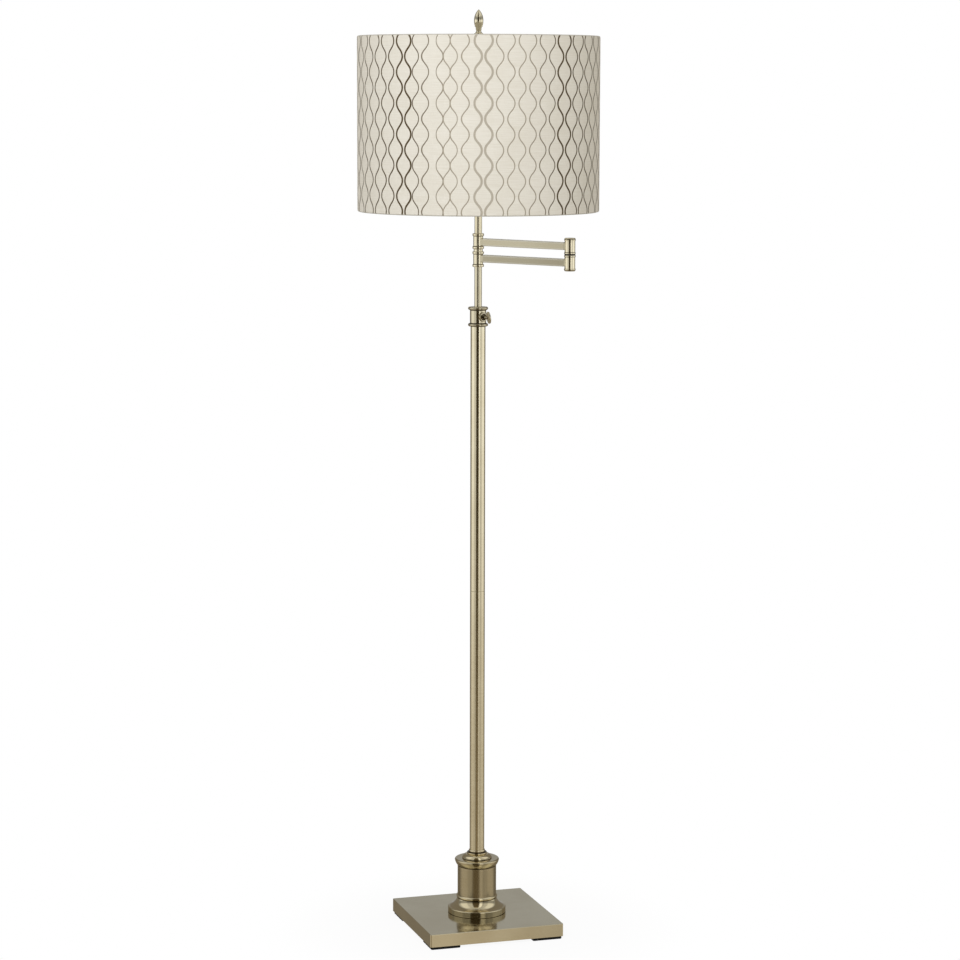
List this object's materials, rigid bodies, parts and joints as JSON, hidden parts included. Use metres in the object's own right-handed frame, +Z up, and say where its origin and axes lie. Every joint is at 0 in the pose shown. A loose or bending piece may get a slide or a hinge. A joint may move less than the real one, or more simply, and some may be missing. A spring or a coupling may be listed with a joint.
{
  "type": "swing arm floor lamp",
  "caption": "Floor lamp with a square weighted base, a telescoping pole, a folding swing arm and a fabric drum shade carried on a harp.",
  "frame": {"origin": "on the floor, on the axis of the pole", "axes": "+Z up along the pole, the base plate's sides lie along X and Y, the cord inlet faces +Y"},
  "size_m": [0.4063, 0.4064, 1.5737],
  "materials": {
    "brushed_brass": "antique brass, fine brushed, clear lacquer",
    "polished_brass": "smooth lamp socket brass",
    "cast_iron": "rough cast",
    "steel": "zinc plated",
    "foot_rubber": "moulded black rubber",
    "black_plastic": "moulded, fine grain",
    "shade_fabric": "ivory cloth with stitched wave lines",
    "shade_liner": "white styrene sheet",
    "socket_card": "brown insulating card",
    "aluminium": "rolled",
    "bulb_glass": "frosted white"
  },
  "bodies": {
    "base": {"base_cover": "brushed_brass", "base_weight": "cast_iron", "base_floor_plate": "steel", "base_screws": "steel", "foot_front_left": "foot_rubber", "foot_front_right": "foot_rubber", "foot_back_left": "foot_rubber", "foot_back_right": "foot_rubber", "cord_bushing": "black_plastic", "rod_washer": "steel", "rod_nut": "steel", "center_rod": "steel", "pedestal_foot": "brushed_brass", "pedestal_barrel": "brushed_brass", "pedestal_rim": "brushed_brass", "pedestal_dome": "brushed_brass", "pole_ring": "brushed_brass", "pole_plug": "steel", "lower_pole": "brushed_brass", "pole_coupler": "steel", "upper_pole": "brushed_brass", "height_collar": "brushed_brass", "collar_bush": "black_plastic"},
    "thumb_screw": {"thumb_screw": "brushed_brass"},
    "mast": {"inner_pole": "brushed_brass", "inner_pole_guide": "black_plastic", "swing_washer": "brushed_brass", "swing_post": "steel", "swing_nut": "steel"},
    "lower_arm": {"lower_arm_collar": "brushed_brass", "swing_cap": "brushed_brass", "lower_arm": "brushed_brass", "lower_elbow": "brushed_brass", "elbow_bottom_cap": "brushed_brass", "elbow_pin": "steel", "elbow_washer": "black_plastic", "elbow_nut": "steel"},
    "upper_arm": {"upper_elbow": "brushed_brass", "elbow_top_cap": "brushed_brass", "upper_arm": "brushed_brass", "upper_arm_collar": "brushed_brass", "stem": "brushed_brass", "stem_nipple": "steel", "harp_saddle": "polished_brass", "harp": "polished_brass", "socket_cap": "polished_brass", "socket_shell": "polished_brass", "socket_liner": "socket_card", "socket_body": "black_plastic", "screw_shell": "aluminium", "bulb_cap": "aluminium", "bulb_glass": "bulb_glass"},
    "harp_sleeve_left": {"harp_sleeve_left": "polished_brass"},
    "harp_sleeve_right": {"harp_sleeve_right": "polished_brass"},
    "switch_knob": {"switch_knob": "black_plastic"},
    "shade": {"shade_fabric": "shade_fabric", "shade_liner": "shade_liner", "shade_spider": "polished_brass", "shade_bottom_ring": "polished_brass"},
    "finial": {"finial": "brushed_brass"}
  },
  "joints": [
    {"name": "height_slide", "type": "slide", "parent": "base", "child": "mast", "axis": [0, 0, 1], "range_m": [-0.06, 0.25]},
    {"name": "thumb_screw_turn", "type": "hinge", "parent": "base", "child": "thumb_screw", "pos_m": [0, 0, 1.0611], "axis": [0.2756, -0.9613, 0], "range_deg": [0, 540]},
    {"name": "lower_arm_swing", "type": "hinge", "parent": "mast", "child": "lower_arm", "pos_m": [0, 0, 1.1578], "axis": [0, 0, 1], "range_deg": [-170, 170]},
    {"name": "upper_arm_swing", "type": "hinge", "parent": "lower_arm", "child": "upper_arm", "pos_m": [0.13442, -0.08399, 1.166], "axis": [0, 0, 1], "range_deg": [-170, 170]},
    {"name": "harp_sleeve_left_slide", "type": "slide", "parent": "upper_arm", "child": "harp_sleeve_left", "axis": [0, 0, 1], "range_m": [0, 0.012]},
    {"name": "harp_sleeve_right_slide", "type": "slide", "parent": "upper_arm", "child": "harp_sleeve_right", "axis": [0, 0, 1], "range_m": [0, 0.012]},
    {"name": "switch_turn", "type": "hinge", "parent": "upper_arm", "child": "switch_knob", "pos_m": [0, 0, 1.29365], "axis": [0, -1, 0], "continuous": true},
    {"name": "shade_turn", "type": "hinge", "parent": "upper_arm", "child": "shade", "pos_m": [0, 0, 1.525], "axis": [0, 0, 1], "continuous": true},
    {"name": "finial_turn", "type": "hinge", "parent": "upper_arm", "child": "finial", "pos_m": [0, 0, 1.53], "axis": [0, 0, 1], "continuous": true}
  ]
}
